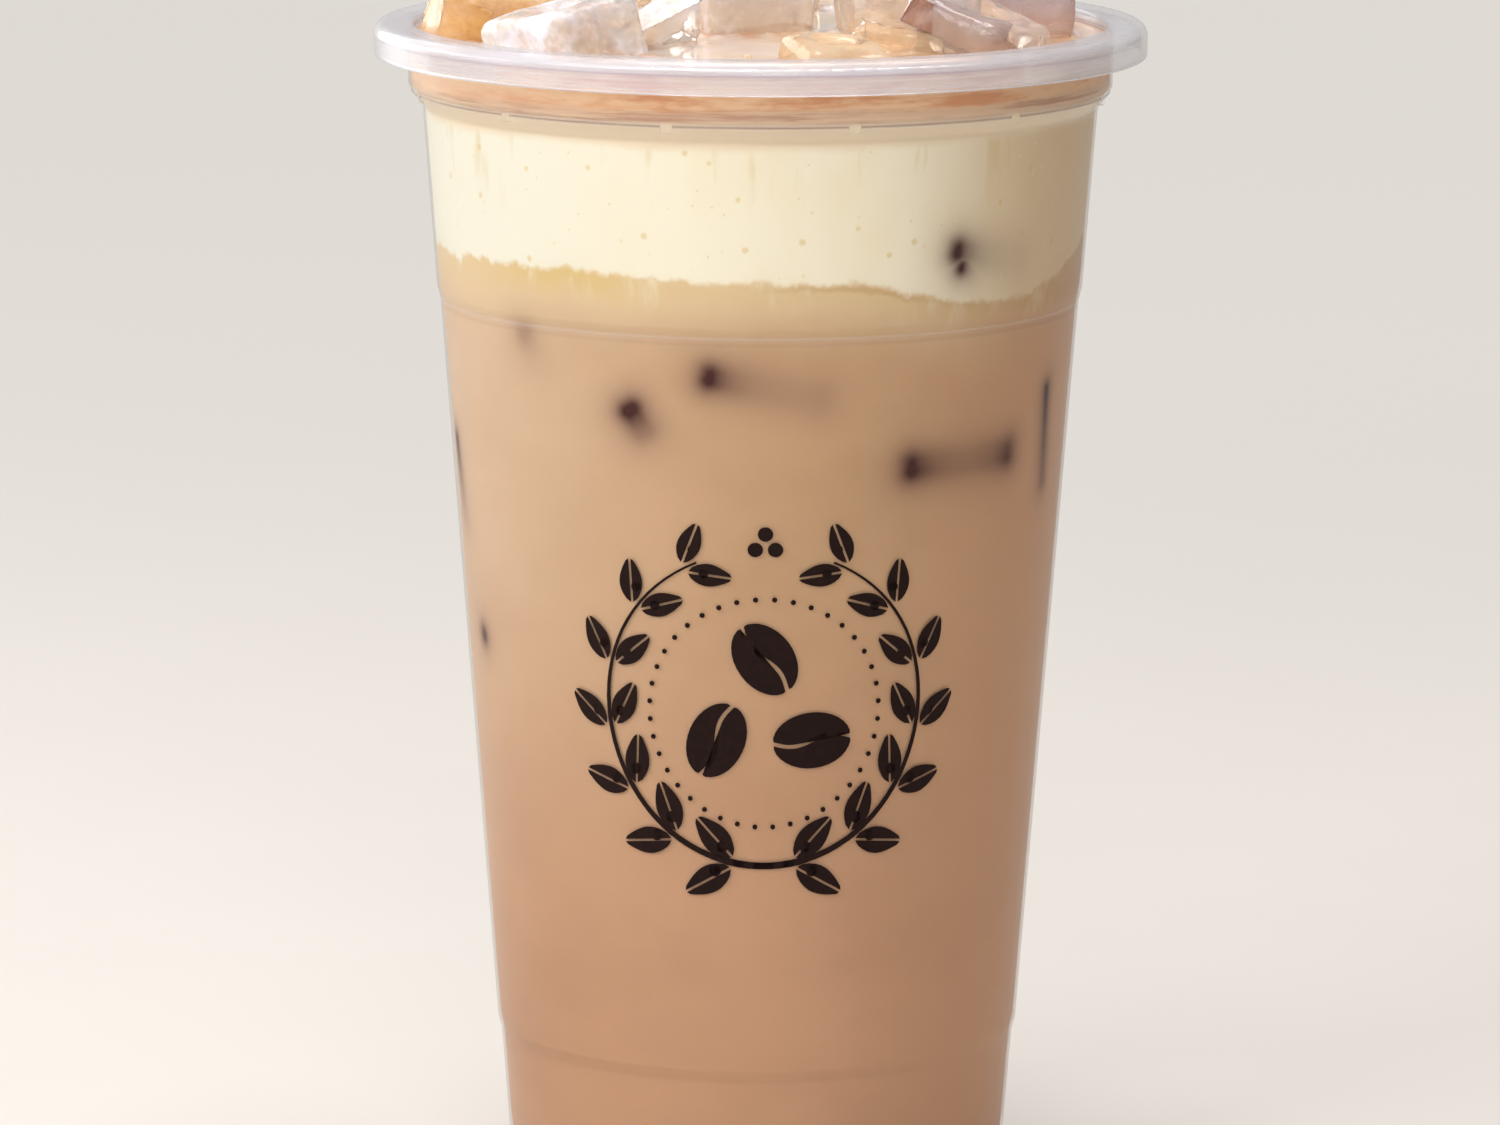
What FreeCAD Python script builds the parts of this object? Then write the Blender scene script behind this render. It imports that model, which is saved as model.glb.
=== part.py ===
import FreeCAD, Part

import itertools
import math
import os
from dataclasses import dataclass

# An iced caffe mocha in its clear injection-moulded takeaway cup.
#
# Millimetres, +Z up, origin on the table at the cup's axis, -Y towards the front.
# The cup is one thin moulding: a recessed base on a foot ring, a drafted body with two
# stacking steps, a shoulder with stacking lugs, a straight neck, and a rim that is a
# channel open downwards. It is filled almost to the brim with three layers, mocha,
# cream and coffee, and a heap of ice stands in them.

# Cup, outside
CUP_HEIGHT = 137.0
RIM_DIAMETER = 90.0
DRAFT_DEG = 4.4  # lean of the body's wall, each side
WALL = 0.7

# Rim channel, measured from the top and in from the outside
RIM_SKIRT_HEIGHT = 3.8
RIM_OVERHANG = 4.0  # from the neck out to the skirt's outer face
RIM_FLANGE_THICKNESS = 0.8
RIM_SKIRT_THICKNESS = 0.7
RIM_OUTER_ROUNDING = 1.3
RIM_INNER_ROUNDING = 0.6
RIM_SKIRT_ROUNDING = 0.3

# Neck and shoulder, measured down from the top. Under the neck is a small ledge with an
# upright face, which the lugs stand across, and then the shoulder slopes in to the body.
NECK_DEPTH = 7.2
LEDGE_WIDTH = 0.25
LEDGE_HEIGHT = 0.7
SHOULDER_WIDTH = 1.65  # from the neck in to the body, ledge included
SHOULDER_HEIGHT = 2.4  # ledge included
SHOULDER_ROUNDING = 0.5
LEDGE_ROUNDING = 0.12

# Stacking lugs across the ledge
LUG_COUNT = 12
LUG_WIDTH = 1.4
LUG_HEIGHT = 1.5
LUG_SETBACK = 0.05  # from the neck's wall in to the lug's face
LUG_REACH = 0.2  # up past the ledge

# Stacking steps: the upper one down from the rim's top, the lower one up from the table,
# each to the step's lower edge
UPPER_STEP_DEPTH = 32.3
LOWER_STEP_HEIGHT = 17.4
STEP_DEPTH = 0.4
STEP_RISE = 1.5
STEP_ROUNDING = 0.6

# Base
FOOT_RECESS = 2.4
FLOOR_THICKNESS = 0.9
FLOOR_ROUNDING = 2.6
FOOT_WIDTH = 1.1  # of the ring that the cup stands on
FOOT_ROUNDING = 0.3
RECESS_ROUNDING = 0.8
GATE_DIAMETER = 7.0
GATE_DEPTH = 0.4
GATE_ROUNDING = 0.3

# Filling, measured down from the top of the rim
FILL_DEPTH = 1.8
COFFEE_DEPTH = 6.1
CREAM_DEPTH = 26.0

# The boundary under a layer is a level sheet with slow waves across it. A wave is its
# height at the wall, its number around, and the degrees from the front to its crest.
COFFEE_WAVES = ((0.25, 2, 40.0), (0.20, 3, -15.0), (0.12, 7, 60.0))
CREAM_WAVES = ((0.55, 1, -62.0), (0.40, 2, -35.0), (0.30, 5, 20.0), (0.20, 7, -75.0))
SHEET_POINTS = 25  # a side, in the grid that a boundary passes through

# Ice
ICE_EDGE = 17.5
ICE_ROUNDING = 2.2
ICE_DIMPLE_DEPTH = 1.0
ICE_DIMPLE_MARGIN = 0.7  # between the dimple and the rounding of the block's edges
ICE_DIMPLE_ROUNDING = 0.8
ICE_WALL_GAP = 1.0  # between a block and the cup's inner wall
ICE_GAP = 0.3  # between neighbouring blocks
ICE_STEP = 0.25  # by which a block is moved until it is clear


@dataclass(frozen=True)
class IceBlock:
    """One block of ice as it lies in the cup."""

    name: str
    sides: tuple  # along its own X, Y and Z, as shares of ICE_EDGE
    around: float  # degrees from the front, positive to the right
    turn: float  # degrees about the vertical, beyond facing the wall
    lean: float  # degrees, its top towards the wall
    roll: float  # degrees about the line from the axis
    rise: float  # of its highest corner above the filling
    inward: float = 0.0  # further from the wall than ICE_WALL_GAP


ICE_BLOCKS = (
    IceBlock("ice_left", (0.95, 0.80, 1.05), -90.0, 4.0, -5.0, 10.0, 10.0),
    IceBlock("ice_front_left", (0.95, 0.80, 0.95), -46.0, -1.0, 9.0, -9.0, 8.5),
    IceBlock("ice_front", (0.70, 0.70, 0.85), 15.0, 6.0, 8.0, 4.0, 4.5),
    IceBlock("ice_front_right", (0.80, 0.70, 0.90), 53.0, -1.0, 17.0, 5.0, 8.0),
    IceBlock("ice_right", (0.80, 0.80, 1.05), 96.0, -2.0, 2.0, -3.0, 10.5),
    IceBlock("ice_back_right", (0.90, 0.75, 1.00), 138.0, 1.0, 10.0, 6.0, 8.5),
    IceBlock("ice_back", (0.95, 0.75, 0.95), 182.0, -1.0, -6.0, -6.0, 10.0),
    IceBlock("ice_back_left", (0.90, 0.80, 1.00), 226.0, 5.0, 10.0, 8.0, 9.0),
    IceBlock("ice_middle", (0.85, 0.75, 1.05), 200.0, 2.0, -3.0, -5.0, 12.0, 24.5),
    IceBlock("ice_middle_right", (0.70, 0.70, 1.00), 95.0, 1.0, -5.0, 5.0, 9.5, 15.0),
)

# Derived heights and radii
RIM_RADIUS = RIM_DIAMETER / 2
NECK_RADIUS = RIM_RADIUS - RIM_OVERHANG
BODY_RADIUS = NECK_RADIUS - SHOULDER_WIDTH
NECK_Z = CUP_HEIGHT - NECK_DEPTH
SHOULDER_Z = NECK_Z - SHOULDER_HEIGHT
UPPER_STEP_Z = CUP_HEIGHT - UPPER_STEP_DEPTH
FLOOR_Z = FOOT_RECESS + FLOOR_THICKNESS
FILL_Z = CUP_HEIGHT - FILL_DEPTH
COFFEE_Z = CUP_HEIGHT - COFFEE_DEPTH
CREAM_Z = CUP_HEIGHT - CREAM_DEPTH
TAPER = math.tan(math.radians(DRAFT_DEG))

ORIGIN = FreeCAD.Vector(0, 0, 0)
X_AXIS = FreeCAD.Vector(1, 0, 0)
Y_AXIS = FreeCAD.Vector(0, 1, 0)
Z_AXIS = FreeCAD.Vector(0, 0, 1)


def rounded_wire(corners):
    """A closed wire in the XZ plane, from corners of (radius, height, rounding)."""
    arcs = []
    ends = []
    for i, (r, z, rounding) in enumerate(corners):
        corner = FreeCAD.Vector(r, 0, z)
        if rounding == 0:
            ends.append((corner, corner))
            continue
        r_last, z_last, _ = corners[i - 1]
        r_next, z_next, _ = corners[(i + 1) % len(corners)]
        back = (FreeCAD.Vector(r_last, 0, z_last) - corner).normalize()
        ahead = (FreeCAD.Vector(r_next, 0, z_next) - corner).normalize()
        half = back.getAngle(ahead) / 2
        run = rounding / math.tan(half)
        inward = (back + ahead).normalize()
        middle = corner + inward * (rounding / math.sin(half) - rounding)
        ends.append((corner + back * run, corner + ahead * run))
        arcs.append(Part.Arc(ends[-1][0], middle, ends[-1][1]).toShape())
    lines = []
    for i, (start, _) in enumerate(ends):
        lines.append(Part.LineSegment(ends[i - 1][1], start).toShape())
    return Part.Wire(Part.__sortEdges__(arcs + lines))


def turned(corners):
    """The solid that an outline sweeps round the cup's axis."""
    return Part.Face(rounded_wire(corners)).revolve(ORIGIN, Z_AXIS, 360)


def wall_corners(thickness):
    """The wall from the lower step up to the shoulder, on its face at a thickness in."""
    lower_top = LOWER_STEP_HEIGHT + STEP_RISE
    upper_top = UPPER_STEP_Z + STEP_RISE
    body = BODY_RADIUS - thickness
    above_upper = body - (SHOULDER_Z - upper_top) * TAPER
    below_upper = above_upper - STEP_DEPTH
    above_lower = below_upper - (UPPER_STEP_Z - lower_top) * TAPER
    below_lower = above_lower - STEP_DEPTH
    return [
        (below_lower, LOWER_STEP_HEIGHT, STEP_ROUNDING),
        (above_lower, lower_top, STEP_ROUNDING),
        (below_upper, UPPER_STEP_Z, STEP_ROUNDING),
        (above_upper, upper_top, STEP_ROUNDING),
        (body, SHOULDER_Z, SHOULDER_ROUNDING),
    ]


def ledge_corners():
    """The outside from the top of the shoulder over the ledge to the foot of the neck."""
    ledge = NECK_RADIUS - LEDGE_WIDTH
    return [
        (ledge, NECK_Z - LEDGE_HEIGHT, LEDGE_ROUNDING),
        (ledge, NECK_Z, LEDGE_ROUNDING),
        (NECK_RADIUS, NECK_Z, LEDGE_ROUNDING),
    ]


def foot_radius(height):
    """The outer radius below the lower step."""
    radius, top, _ = wall_corners(0)[0]
    return radius - (top - height) * TAPER


def room_corners():
    """The inner surface, from the middle of the floor up to the neck."""
    edge = foot_radius(FLOOR_Z) - WALL
    floor = [(0, FLOOR_Z, 0), (edge, FLOOR_Z, FLOOR_ROUNDING)]
    neck = [(NECK_RADIUS - WALL, NECK_Z, SHOULDER_ROUNDING)]
    return floor + wall_corners(WALL) + neck


def base_corners():
    """The underside, from the gate's dimple in its middle out to the foot ring."""
    gate = GATE_DIAMETER / 2
    gate_z = FOOT_RECESS + GATE_DEPTH
    return [
        (0, gate_z, 0),
        (gate, gate_z, GATE_ROUNDING / 2),
        (gate + GATE_DEPTH, FOOT_RECESS, GATE_ROUNDING),
        (foot_radius(FOOT_RECESS) - FOOT_WIDTH, FOOT_RECESS, RECESS_ROUNDING),
        (foot_radius(0) - FOOT_WIDTH, 0, FOOT_ROUNDING),
        (foot_radius(0), 0, FOOT_ROUNDING),
    ]


def rim_corners():
    """The rim's channel, from the root of its groove over the top to the mouth."""
    under = CUP_HEIGHT - RIM_FLANGE_THICKNESS
    skirt = CUP_HEIGHT - RIM_SKIRT_HEIGHT
    groove = RIM_RADIUS - RIM_SKIRT_THICKNESS
    return [
        (NECK_RADIUS, under, RIM_SKIRT_ROUNDING),
        (groove, under, RIM_SKIRT_ROUNDING),
        (groove, skirt, RIM_SKIRT_ROUNDING),
        (RIM_RADIUS, skirt, RIM_SKIRT_ROUNDING),
        (RIM_RADIUS, CUP_HEIGHT, RIM_OUTER_ROUNDING),
        (NECK_RADIUS - WALL, CUP_HEIGHT, RIM_INNER_ROUNDING),
    ]


def stacking_lug(around):
    """One square lug across the ledge, at an angle from the front."""
    inner = BODY_RADIUS
    outer = NECK_RADIUS - LUG_SETBACK
    bottom = NECK_Z + LUG_REACH - LUG_HEIGHT
    lug = Part.makeBox(outer - inner, LUG_WIDTH, LUG_HEIGHT, FreeCAD.Vector(inner, -LUG_WIDTH / 2, bottom))
    lug.rotate(ORIGIN, Z_AXIS, around - 90)
    return lug


def cup_solid():
    """The cup with its lugs, whose inner sides stop at the inner surface."""
    outside = base_corners() + wall_corners(0) + ledge_corners() + rim_corners()
    shell = turned(outside + room_corners()[::-1])
    room = room_up_to(CUP_HEIGHT)
    pitch = 360 / LUG_COUNT
    lugs = [stacking_lug((i + 0.5) * pitch).cut(room) for i in range(LUG_COUNT)]
    return shell.fuse(lugs).removeSplitter()


def room_up_to(height):
    """The space inside the cup from the floor to a height in the neck."""
    return turned(room_corners() + [(NECK_RADIUS - WALL, height, 0), (0, height, 0)])


def room_radius(height):
    """The radius of the cup's inner surface at a height."""
    corners = room_corners()[1:]
    for (r_low, z_low, _), (r_high, z_high, _) in zip(corners, corners[1:]):
        if height < z_high:
            return r_low + (r_high - r_low) * (height - z_low) / (z_high - z_low)
    return corners[-1][0]


def boundary_height(level, waves, x, y):
    """The height of a boundary between layers at a point of the plan."""
    distance = math.hypot(x, y) / BODY_RADIUS
    around = math.atan2(x, -y)
    swell = 0
    for height, number, crest in waves:
        swell += height * distance**number * math.cos(number * (around - math.radians(crest)))
    return level + swell


def space_under(level, waves):
    """A block whose wavy top is a boundary and which reaches below the table."""
    side = 2 * NECK_RADIUS
    step = side / (SHEET_POINTS - 1)
    places = [i * step - side / 2 for i in range(SHEET_POINTS)]
    sheet = Part.BSplineSurface()
    sheet.interpolate(
        [[FreeCAD.Vector(x, y, boundary_height(level, waves, x, y)) for y in places] for x in places]
    )
    return sheet.toShape().extrude(Z_AXIS * -2 * level)


def plain_ice(block):
    """The box that a block of ice fills, about the origin."""
    x, y, z = (share * ICE_EDGE for share in block.sides)
    return Part.makeBox(x, y, z, FreeCAD.Vector(-x / 2, -y / 2, -z / 2))


def moulded_ice(block):
    """A block of ice about the origin: rounded, with the mould's dimple in its top."""
    cube = plain_ice(block)
    cube = cube.makeFillet(ICE_ROUNDING, cube.Edges)
    x, y, z = (share * ICE_EDGE / 2 for share in block.sides)
    reach = min(x, y) - ICE_ROUNDING - ICE_DIMPLE_MARGIN
    radius = (reach**2 + ICE_DIMPLE_DEPTH**2) / (2 * ICE_DIMPLE_DEPTH)
    centre = FreeCAD.Vector(0, 0, z - ICE_DIMPLE_DEPTH + radius)
    cube = cube.cut(Part.makeSphere(radius, centre))
    lip = [edge for edge in cube.Edges if len(edge.Vertexes) == 1]
    return cube.makeFillet(ICE_DIMPLE_ROUNDING, lip)


def corners_of(block, place, inset):
    """The eight corners of a block of ice at its place, each moved in by an inset."""
    x, y, z = (share * ICE_EDGE / 2 - inset for share in block.sides)
    signs = itertools.product((-1, 1), repeat=3)
    return [place.multVec(FreeCAD.Vector(i * x, j * y, k * z)) for i, j, k in signs]


def near_wall(point):
    """Whether a point is nearer to the inner wall than ICE_WALL_GAP."""
    return math.hypot(point.x, point.y) > room_radius(point.z) - ICE_WALL_GAP


def lie_apart(block, place, other, other_place):
    """Whether two rounded blocks keep ICE_GAP, as seen along their sides and edges."""
    sides = (X_AXIS, Y_AXIS, Z_AXIS)
    own = [place.Rotation.multVec(side) for side in sides]
    theirs = [other_place.Rotation.multVec(side) for side in sides]
    crossed = [a.cross(b) for a in own for b in theirs]
    first = corners_of(block, place, ICE_ROUNDING)
    second = corners_of(other, other_place, ICE_ROUNDING)
    for axis in own + theirs + crossed:
        if axis.Length < Part.Precision.confusion():
            continue
        axis.normalize()
        near = [axis.dot(corner) for corner in first]
        far = [axis.dot(corner) for corner in second]
        space = max(min(near) - max(far), min(far) - max(near))
        if space > 2 * ICE_ROUNDING + ICE_GAP:
            return True
    return False


def ice_places():
    """Pairs of a block of ice and its place, as far out and as deep as it fits."""
    placed = []
    for block in ICE_BLOCKS:
        facing = FreeCAD.Rotation(Z_AXIS, block.around)
        tilt = FreeCAD.Rotation(X_AXIS, block.lean) * FreeCAD.Rotation(Y_AXIS, block.roll)
        place = FreeCAD.Placement(ORIGIN, facing * tilt * FreeCAD.Rotation(Z_AXIS, block.turn))
        outward = facing.multVec(-Y_AXIS)
        top = max(corner.z for corner in corners_of(block, place, 0))
        place.move(Z_AXIS * (FILL_Z + block.rise - top))
        while not any(near_wall(corner) for corner in corners_of(block, place, 0)):
            place.move(outward * ICE_STEP)
        place.move(-outward * (ICE_STEP + block.inward))
        while not all(lie_apart(block, place, *other) for other in placed):
            place.move(Z_AXIS * ICE_STEP)
        placed.append((block, place))
    return placed


def ice_solids():
    """The blocks of ice where they lie, by name."""
    blocks = {}
    for block, place in ice_places():
        blocks[block.name] = moulded_ice(block)
        blocks[block.name].Placement = place
    return blocks


def layer_solids(ice):
    """The three layers of the drink, by name, with the ice cut out of them."""
    drink = room_up_to(FILL_Z).cut(ice)
    under_coffee = space_under(COFFEE_Z, COFFEE_WAVES)
    under_cream = space_under(CREAM_Z, CREAM_WAVES)
    below = drink.common(under_coffee)
    return {
        "coffee": drink.cut(under_coffee),
        "cream": below.cut(under_cream),
        "mocha": below.common(under_cream),
    }


def main():
    """Build every piece and write it to a file of its own."""
    ice = ice_solids()
    pieces = {"cup": cup_solid(), **layer_solids(list(ice.values())), **ice}
    os.makedirs("parts", exist_ok=True)
    for name, shape in pieces.items():
        solids = shape.Solids
        print(f"{name}: {len(solids)} solid, valid {shape.isValid()}, {shape.Volume / 1000:.2f} cm3")
        solids[0].exportStep(f"parts/{name}.step")


if __name__ == "__main__":
    main()
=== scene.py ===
"""Looks of an iced caffe mocha in a clear takeaway cup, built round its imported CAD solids."""

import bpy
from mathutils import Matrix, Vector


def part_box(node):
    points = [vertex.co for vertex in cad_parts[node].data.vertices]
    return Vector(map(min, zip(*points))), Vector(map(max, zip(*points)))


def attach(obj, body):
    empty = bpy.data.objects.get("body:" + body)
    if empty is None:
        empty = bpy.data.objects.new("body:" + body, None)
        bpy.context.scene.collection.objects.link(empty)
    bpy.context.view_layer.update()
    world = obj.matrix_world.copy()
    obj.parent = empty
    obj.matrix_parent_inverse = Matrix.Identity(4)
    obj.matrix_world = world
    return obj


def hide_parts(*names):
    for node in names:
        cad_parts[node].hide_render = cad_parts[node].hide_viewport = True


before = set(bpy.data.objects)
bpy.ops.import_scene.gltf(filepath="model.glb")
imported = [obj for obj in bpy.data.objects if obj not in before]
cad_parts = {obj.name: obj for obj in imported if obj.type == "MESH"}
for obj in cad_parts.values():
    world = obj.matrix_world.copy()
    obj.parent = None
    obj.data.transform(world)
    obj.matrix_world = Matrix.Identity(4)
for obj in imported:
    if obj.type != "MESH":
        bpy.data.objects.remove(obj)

import logging
import math
from dataclasses import dataclass
from enum import Enum
from typing import Callable, Iterable, Sequence

import bmesh
import bpy
from mathutils import Euler, Matrix, Quaternion, Vector, noise
from mathutils.bvhtree import BVHTree

log = logging.getLogger("iced_mocha")
MM = 0.001


class Slot(Enum):
    """The record's material slots."""

    CUP = "clear_cup"
    MOCHA = "milky_mocha"
    CREAM = "cream"
    COFFEE = "coffee_top"
    ICE = "ice"
    INK = "dark_print"
    JELLY = "cocoa_jelly"


# Heights and radii of the cup and drink, in mm
CUP_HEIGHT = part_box("cup")[1][2] / MM
FILL_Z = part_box("coffee")[1][2] / MM
FLOOR_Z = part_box("mocha")[0][2] / MM
COFFEE_Z = CUP_HEIGHT - 6.1
CREAM_Z = CUP_HEIGHT - 26.0
LEDGE_RADIUS = 40.75
BODY_RADIUS = 39.35

# Swells of the two boundaries: how high in mm, how many round the cup, the bearing of a crest
COFFEE_WAVES = ((0.25, 2, 40.0), (0.20, 3, -15.0), (0.12, 7, 60.0))
CREAM_WAVES = ((0.55, 1, -62.0), (0.40, 2, -35.0), (0.30, 5, 20.0), (0.20, 7, -75.0))

SHARP_ANGLE = math.radians(55.0)
WELD = 0.002 * MM
JELLY_SHADE = 8.0
WALL_OVERLAP = 0.4

# How ice melts: the remeshed grain in metres, depths in mm and features per mm
VOXEL = 0.5 * MM
WORN_DEPTH = 0.3
HOLLOW_DEPTH = 0.7
HOLLOW_SCALE = 0.15
RIPPLE_DEPTH = 0.12
RIPPLE_SCALE = 0.5

Colour = tuple[float, float, float, float] | bpy.types.NodeSocket


def srgb(red: int, green: int, blue: int) -> tuple[float, float, float, float]:
    """Turns an sRGB colour into a linear one.

    Args:
        red: Its red, 0 to 255.
        green: Its green, 0 to 255.
        blue: Its blue, 0 to 255.

    Returns:
        The linear colour with an alpha of 1.
    """
    def linear(level: int) -> float:
        """One channel made linear."""
        share = level / 255
        return share / 12.92 if share <= 0.04045 else ((share + 0.055) / 1.055) ** 2.4
    return linear(red), linear(green), linear(blue), 1.0


class Term:
    """A node's output used as a term in plain arithmetic; each operator adds a Math node."""

    def __init__(self, tree: bpy.types.NodeTree, socket: bpy.types.NodeSocket) -> None:
        """Keeps the output and the tree it is in."""
        self.tree = tree
        self.socket = socket

    def _math(self, operation: str, *terms: "Term | float") -> "Term":
        """Adds a Math node.

        Args:
            operation: The node's operation.
            terms: Its inputs in order.

        Returns:
            The node's output as a term.
        """
        node = self.tree.nodes.new("ShaderNodeMath")
        node.operation = operation
        for slot, term in zip(node.inputs, terms):
            if isinstance(term, Term):
                self.tree.links.new(term.socket, slot)
            else:
                slot.default_value = term
        return Term(self.tree, node.outputs[0])

    def __add__(self, other: "Term | float") -> "Term":
        """This plus another."""
        return self._math("ADD", self, other)

    def __radd__(self, other: "Term | float") -> "Term":
        """A number plus this."""
        return self._math("ADD", other, self)

    def __sub__(self, other: "Term | float") -> "Term":
        """This less another."""
        return self._math("SUBTRACT", self, other)

    def __rsub__(self, other: "Term | float") -> "Term":
        """A number less this."""
        return self._math("SUBTRACT", other, self)

    def __mul__(self, other: "Term | float") -> "Term":
        """This times another."""
        return self._math("MULTIPLY", self, other)

    def __rmul__(self, other: "Term | float") -> "Term":
        """A number times this."""
        return self._math("MULTIPLY", other, self)

    def __truediv__(self, other: "Term | float") -> "Term":
        """This divided by another."""
        return self._math("DIVIDE", self, other)

    def __neg__(self) -> "Term":
        """This with its sign turned."""
        return self._math("MULTIPLY", self, -1.0)

    def __abs__(self) -> "Term":
        """This without its sign."""
        return self._math("ABSOLUTE", self)

    def at_least(self, other: "Term | float") -> "Term":
        """The greater of this and another."""
        return self._math("MAXIMUM", self, other)

    def at_most(self, other: "Term | float") -> "Term":
        """The lesser of this and another."""
        return self._math("MINIMUM", self, other)

    def angle_over(self, other: "Term | float") -> "Term":
        """The angle whose tangent is this over another."""
        return self._math("ARCTAN2", self, other)

    def cosine(self) -> "Term":
        """The cosine of this."""
        return self._math("COSINE", self)

    def exponential(self) -> "Term":
        """e to the power of this."""
        return self._math("EXPONENT", self)

    def root(self) -> "Term":
        """The square root of this."""
        return self._math("SQRT", self)

    def rise(self, start: float, end: float) -> "Term":
        """A smooth step of this term, 0 at start and 1 at end."""
        share = ((self - start) / (end - start)).at_least(0.0).at_most(1.0)
        return share * share * (3.0 - 2.0 * share)

    def near(self, centre: float, width: float) -> "Term":
        """A smooth bump of this term, 1 at the centre and 0 a width away."""
        return 1.0 - abs(self - centre).rise(0.0, width)


class Graph:
    """A material's node tree, with short ways to add nodes to it."""

    def __init__(self, name: str, owner: bpy.types.ID | None = None) -> None:
        """Starts an empty tree.

        Args:
            name: The new material's name.
            owner: What has the tree instead of a new material, such as a world.
        """
        self.material = owner or bpy.data.materials.new(name)
        self.material.use_nodes = True
        self.tree = self.material.node_tree
        self.tree.nodes.clear()
        self._place = None

    def node(self, kind: str, settings: dict | None = None,
             inputs: dict | None = None) -> bpy.types.Node:
        """Adds a node.

        Args:
            kind: The node's type.
            settings: Its properties, set before its sockets.
            inputs: Socket values, or terms and sockets to link.

        Returns:
            The new node.
        """
        node = self.tree.nodes.new(kind)
        for key, value in (settings or {}).items():
            setattr(node, key, value)
        for key, value in (inputs or {}).items():
            slot = node.inputs[key]
            if isinstance(value, Term):
                self.tree.links.new(value.socket, slot)
            elif isinstance(value, bpy.types.NodeSocket):
                self.tree.links.new(value, slot)
            else:
                slot.default_value = value
        return node

    def place(self) -> tuple[Term, Term, Term]:
        """The object coordinates, in mm."""
        if self._place is None:
            where = self.node("ShaderNodeTexCoord").outputs["Object"]
            parts = self.node("ShaderNodeSeparateXYZ", inputs={0: where}).outputs
            self._place = tuple(Term(self.tree, part) * 1000.0 for part in parts)
        return self._place

    def around(self) -> Term:
        """The angle round the axis from the front, in radians."""
        x, y, _ = self.place()
        return x.angle_over(-y)

    def out(self) -> Term:
        """The distance from the axis, in mm."""
        x, y, _ = self.place()
        return (x * x + y * y).root()

    def vector(self, x: Term | float, y: Term | float, z: Term | float) -> bpy.types.NodeSocket:
        """Joins three terms into one vector."""
        return self.node("ShaderNodeCombineXYZ", inputs={0: x, 1: y, 2: z}).outputs[0]

    def noise(self, scale: float, detail: float = 3.0, roughness: float = 0.5,
              stretch: tuple[float, float, float] = (1.0, 1.0, 1.0), seed: float = 0.0) -> Term:
        """Noise over the object's place in mm.

        Args:
            scale: Features per mm.
            detail: Octaves.
            roughness: Weight of the finer octaves.
            stretch: Factor on each axis.
            seed: Offset into the pattern.

        Returns:
            A term of about 0.5 on average.
        """
        place = [axis * factor + seed for axis, factor in zip(self.place(), stretch)]
        node = self.node("ShaderNodeTexNoise", inputs={
            "Vector": self.vector(*place), "Scale": scale, "Detail": detail, "Roughness": roughness})
        return Term(self.tree, node.outputs[0])

    def blend(self, share: Term | float, first: Colour, second: Colour) -> bpy.types.NodeSocket:
        """Mixes two colours.

        Args:
            share: How much of the second there is.
            first: The colour at 0.
            second: The colour at 1.

        Returns:
            The mixed colour's socket.
        """
        node = self.node("ShaderNodeMix", {"data_type": "RGBA"})
        for index, value in ((0, share), (6, first), (7, second)):
            if isinstance(value, Term):
                self.tree.links.new(value.socket, node.inputs[index])
            elif isinstance(value, bpy.types.NodeSocket):
                self.tree.links.new(value, node.inputs[index])
            else:
                node.inputs[index].default_value = value
        return node.outputs[2]

    def attribute(self, name: str) -> Term:
        """A mesh's own value at its points."""
        node = self.node("ShaderNodeAttribute", {"attribute_name": name})
        return Term(self.tree, node.outputs["Fac"])

    def specks(self, scale: float, size: float, share: float, seed: float = 0.0) -> Term:
        """Scattered round specks.

        Args:
            scale: Cells per mm.
            size: A speck's radius as a share of its cell.
            share: The share of cells that have one.
            seed: Offset into the pattern.

        Returns:
            A term that is 1 on the specks and 0 between them.
        """
        place = [axis + seed for axis in self.place()]
        node = self.node("ShaderNodeTexVoronoi", inputs={"Vector": self.vector(*place), "Scale": scale})
        parts = self.node("ShaderNodeSeparateColor", inputs={0: node.outputs["Color"]})
        chance = Term(self.tree, parts.outputs[0])
        spot = 1.0 - Term(self.tree, node.outputs["Distance"]).rise(size * 0.5, size)
        return spot * chance.rise(1.0 - share, 1.0 - share * 0.8)

    def bump(self, height: Term, strength: float, distance: float) -> bpy.types.NodeSocket:
        """A normal from a height term, with the distance in mm."""
        node = self.node("ShaderNodeBump", inputs={
            "Strength": strength, "Distance": distance * MM, "Height": height})
        return node.outputs[0]

    def principled(self, **inputs: object) -> bpy.types.NodeSocket:
        """A Principled shader; underscores in the names stand for spaces."""
        named = {key.replace("_", " "): value for key, value in inputs.items()}
        return self.node("ShaderNodeBsdfPrincipled", inputs=named).outputs[0]

    def mixed(self, share: Term | float, first: bpy.types.NodeSocket,
              second: bpy.types.NodeSocket) -> bpy.types.NodeSocket:
        """Mixes two shaders.

        Args:
            share: How much of the second there is.
            first: The shader at 0.
            second: The shader at 1.

        Returns:
            The mixed shader's socket.
        """
        node = self.node("ShaderNodeMixShader", inputs={0: share})
        self.tree.links.new(first, node.inputs[1])
        self.tree.links.new(second, node.inputs[2])
        return node.outputs[0]

    def finish(self, surface: bpy.types.NodeSocket) -> bpy.types.Material:
        """Links the surface to the output.

        Args:
            surface: The shader that it shows.

        Returns:
            The material.
        """
        output = self.node("ShaderNodeOutputMaterial")
        self.tree.links.new(surface, output.inputs["Surface"])
        return self.material


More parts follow.
